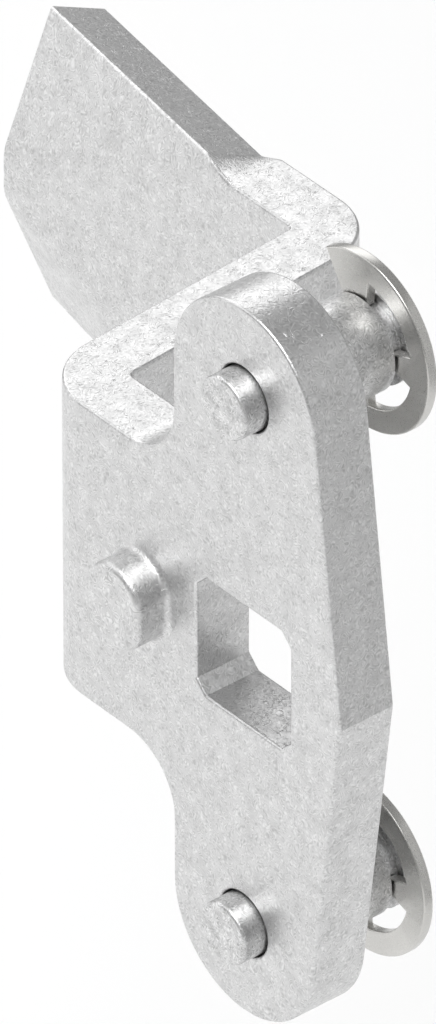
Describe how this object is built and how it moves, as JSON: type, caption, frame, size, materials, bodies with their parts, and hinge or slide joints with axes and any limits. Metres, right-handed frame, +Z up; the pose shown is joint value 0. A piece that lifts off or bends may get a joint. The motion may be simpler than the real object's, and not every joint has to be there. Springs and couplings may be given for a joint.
{
  "type": "gravity gate latch",
  "caption": "Bent-plate latch lever with a square drive hole, a winged offset blade, a stop stud, and stepped pivot pins held by E-type rings.",
  "frame": {"origin": "centre of the square hole, on the front face of the front flange", "axes": "+X along the front flange away from the blade, +Y from the front flange back to the blade, +Z up along the line through both pins"},
  "size_m": [0.0868, 0.0474, 0.0774],
  "materials": {
    "zinc_plated_steel": "hot-dip zinc, matt with fine spangle",
    "bright_zinc_pin": "smooth zinc plate, satin",
    "spring_steel": "satin, warm grey"
  },
  "bodies": {
    "lever": {"latch_plate": "zinc_plated_steel", "stop_stud": "zinc_plated_steel"},
    "upper_pin": {"upper_pivot_pin": "bright_zinc_pin"},
    "lower_pin": {"lower_pivot_pin": "bright_zinc_pin"},
    "upper_ring": {"upper_retaining_ring": "spring_steel"},
    "lower_ring": {"lower_retaining_ring": "spring_steel"}
  },
  "joints": [
    {"name": "upper_pin_turn", "type": "hinge", "parent": "lever", "child": "upper_pin", "pos_m": [0, 0, 0.029], "axis": [0, 1, 0], "continuous": true},
    {"name": "lower_pin_turn", "type": "hinge", "parent": "lever", "child": "lower_pin", "pos_m": [0, 0, -0.029], "axis": [0, 1, 0], "continuous": true},
    {"name": "upper_ring_turn", "type": "hinge", "parent": "upper_pin", "child": "upper_ring", "pos_m": [0, 0, 0.029], "axis": [0, 1, 0], "continuous": true},
    {"name": "lower_ring_turn", "type": "hinge", "parent": "lower_pin", "child": "lower_ring", "pos_m": [0, 0, -0.029], "axis": [0, 1, 0], "continuous": true}
  ]
}
